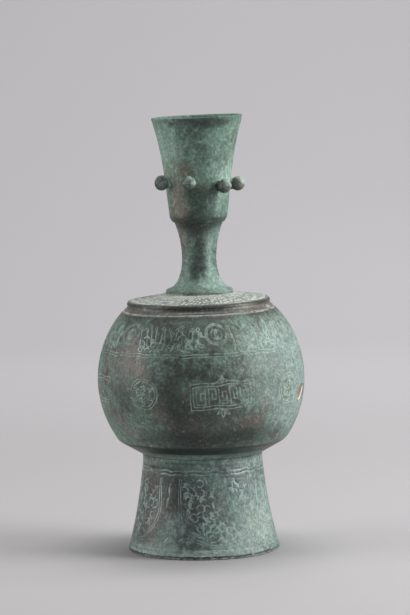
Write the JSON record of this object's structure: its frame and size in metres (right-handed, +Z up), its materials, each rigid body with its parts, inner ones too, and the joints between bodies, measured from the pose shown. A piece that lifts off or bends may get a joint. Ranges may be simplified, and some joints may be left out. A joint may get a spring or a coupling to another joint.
{
  "type": "footed bottle",
  "caption": "Footed cast-bronze bottle with a globular belly, low shoulder plate, waisted neck and a flared cup mouth ringed with ball bosses, for holding and pouring scented water.",
  "frame": {"origin": "middle of the face that the foot stands on", "axes": "+Z up along the bottle's axis, -Y towards the front as pictured, +X to the right"},
  "size_m": [0.1144, 0.1144, 0.2405],
  "materials": {
    "foot_bronze": "matte green patina over cast bronze, engraved",
    "belly_bronze": "satin green patina over cast bronze, engraved",
    "plate_bronze": "matte pale green patina, punched",
    "neck_bronze": "satin green patina over cast bronze",
    "cup_bronze": "satin green patina over cast bronze",
    "boss_bronze": "satin dark green patina",
    "plug_metal": "bare brown metal",
    "solder": "dull pale grey solder"
  },
  "bodies": {
    "root": {"foot": "foot_bronze", "foot_solder": "solder", "belly": "belly_bronze", "belly_plug": "plug_metal", "shoulder_solder": "solder", "shoulder_plate": "plate_bronze", "neck_solder": "solder", "neck": "neck_bronze", "cup_solder": "solder", "mouth_cup": "cup_bronze", "boss_1": "boss_bronze", "boss_2": "boss_bronze", "boss_3": "boss_bronze", "boss_4": "boss_bronze", "boss_5": "boss_bronze", "boss_6": "boss_bronze", "boss_7": "boss_bronze"}
  },
  "joints": []
}
